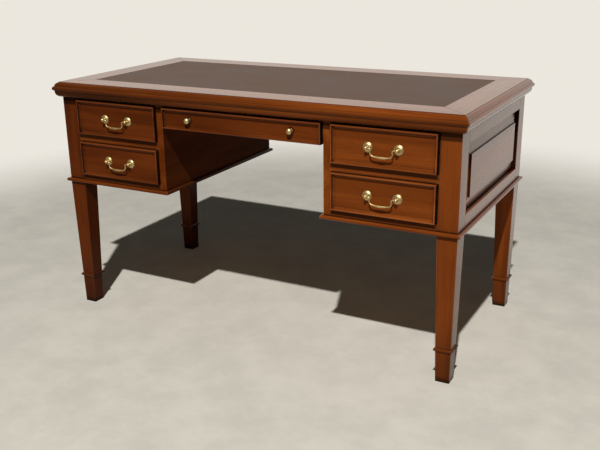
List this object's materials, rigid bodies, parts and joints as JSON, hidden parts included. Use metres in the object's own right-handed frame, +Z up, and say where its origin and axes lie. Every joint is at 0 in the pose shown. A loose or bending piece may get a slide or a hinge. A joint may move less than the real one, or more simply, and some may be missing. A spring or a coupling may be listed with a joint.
{
  "type": "writing desk",
  "caption": "Writing desk with a leather inset top, moulded edge, shallow drawer pedestals with swan-neck bail pulls, a centre drawer over the kneehole and square tapered legs",
  "frame": {"origin": "On the floor, below the middle of the top.", "axes": "X runs along the desk to the right of a person who faces its drawers, Y points from the drawers to the back, and Z points up."},
  "size_m": [1.406, 0.7, 0.78],
  "materials": {
    "mahogany": "semi-gloss lacquer",
    "drawer_lining": "planed, waxed",
    "drawer_base": "sanded plywood",
    "carcase_wood": "sawn and planed",
    "leather": "smooth, polished",
    "brass": "aged polish"
  },
  "bodies": {
    "carcase": {"back_panel_left": "mahogany", "back_panel_right": "mahogany", "back_rails": "mahogany", "base_bead_left": "mahogany", "base_bead_right": "mahogany", "drawer_rails": "mahogany", "drawer_runners": "carcase_wood", "drawer_stops": "carcase_wood", "end_panel_left": "mahogany", "end_panel_right": "mahogany", "end_rails_left": "mahogany", "end_rails_right": "mahogany", "front_top_rail": "mahogany", "inner_side_left": "mahogany", "inner_side_right": "mahogany", "kneehole_back_apron": "mahogany", "leather_writing_surface": "leather", "leg_back_left": "mahogany", "leg_back_right": "mahogany", "leg_collars": "mahogany", "leg_front_left": "mahogany", "leg_front_right": "mahogany", "pedestal_bottom_left": "carcase_wood", "pedestal_bottom_right": "carcase_wood", "top_core": "carcase_wood", "top_edge_moulding": "mahogany", "top_frame_back": "mahogany", "top_frame_front": "mahogany", "top_frame_left": "mahogany", "top_frame_right": "mahogany"},
    "upper_left_drawer": {"upper_left_drawer_front": "mahogany", "upper_left_drawer_sides": "drawer_lining", "upper_left_drawer_back": "drawer_lining", "upper_left_drawer_bottom": "drawer_base", "upper_left_handle_posts": "brass"},
    "upper_left_bail": {"upper_left_handle_bail": "brass"},
    "lower_left_drawer": {"lower_left_drawer_front": "mahogany", "lower_left_drawer_sides": "drawer_lining", "lower_left_drawer_back": "drawer_lining", "lower_left_drawer_bottom": "drawer_base", "lower_left_handle_posts": "brass"},
    "lower_left_bail": {"lower_left_handle_bail": "brass"},
    "upper_right_drawer": {"upper_right_drawer_front": "mahogany", "upper_right_drawer_sides": "drawer_lining", "upper_right_drawer_back": "drawer_lining", "upper_right_drawer_bottom": "drawer_base", "upper_right_handle_posts": "brass"},
    "upper_right_bail": {"upper_right_handle_bail": "brass"},
    "lower_right_drawer": {"lower_right_drawer_front": "mahogany", "lower_right_drawer_sides": "drawer_lining", "lower_right_drawer_back": "drawer_lining", "lower_right_drawer_bottom": "drawer_base", "lower_right_handle_posts": "brass"},
    "lower_right_bail": {"lower_right_handle_bail": "brass"},
    "centre_drawer": {"centre_drawer_front": "mahogany", "centre_drawer_sides": "drawer_lining", "centre_drawer_back": "drawer_lining", "centre_drawer_bottom": "drawer_base", "centre_drawer_knobs": "brass"}
  },
  "joints": [
    {"name": "upper_left_drawer_slide", "type": "slide", "parent": "carcase", "child": "upper_left_drawer", "axis": [0, -1, 0], "range_m": [0, 0.36]},
    {"name": "lower_left_drawer_slide", "type": "slide", "parent": "carcase", "child": "lower_left_drawer", "axis": [0, -1, 0], "range_m": [0, 0.36]},
    {"name": "upper_right_drawer_slide", "type": "slide", "parent": "carcase", "child": "upper_right_drawer", "axis": [0, -1, 0], "range_m": [0, 0.36]},
    {"name": "lower_right_drawer_slide", "type": "slide", "parent": "carcase", "child": "lower_right_drawer", "axis": [0, -1, 0], "range_m": [0, 0.36]},
    {"name": "centre_drawer_slide", "type": "slide", "parent": "carcase", "child": "centre_drawer", "axis": [0, -1, 0], "range_m": [0, 0.3]},
    {"name": "upper_left_bail_hinge", "type": "hinge", "parent": "upper_left_drawer", "child": "upper_left_bail", "pos_m": [-0.4605, -0.342, 0.669], "axis": [-1, 0, 0], "range_deg": [-20, 200]},
    {"name": "lower_left_bail_hinge", "type": "hinge", "parent": "lower_left_drawer", "child": "lower_left_bail", "pos_m": [-0.4605, -0.342, 0.531], "axis": [-1, 0, 0], "range_deg": [-20, 200]},
    {"name": "upper_right_bail_hinge", "type": "hinge", "parent": "upper_right_drawer", "child": "upper_right_bail", "pos_m": [0.4605, -0.342, 0.669], "axis": [-1, 0, 0], "range_deg": [-20, 200]},
    {"name": "lower_right_bail_hinge", "type": "hinge", "parent": "lower_right_drawer", "child": "lower_right_bail", "pos_m": [0.4605, -0.342, 0.531], "axis": [-1, 0, 0], "range_deg": [-20, 200]}
  ]
}
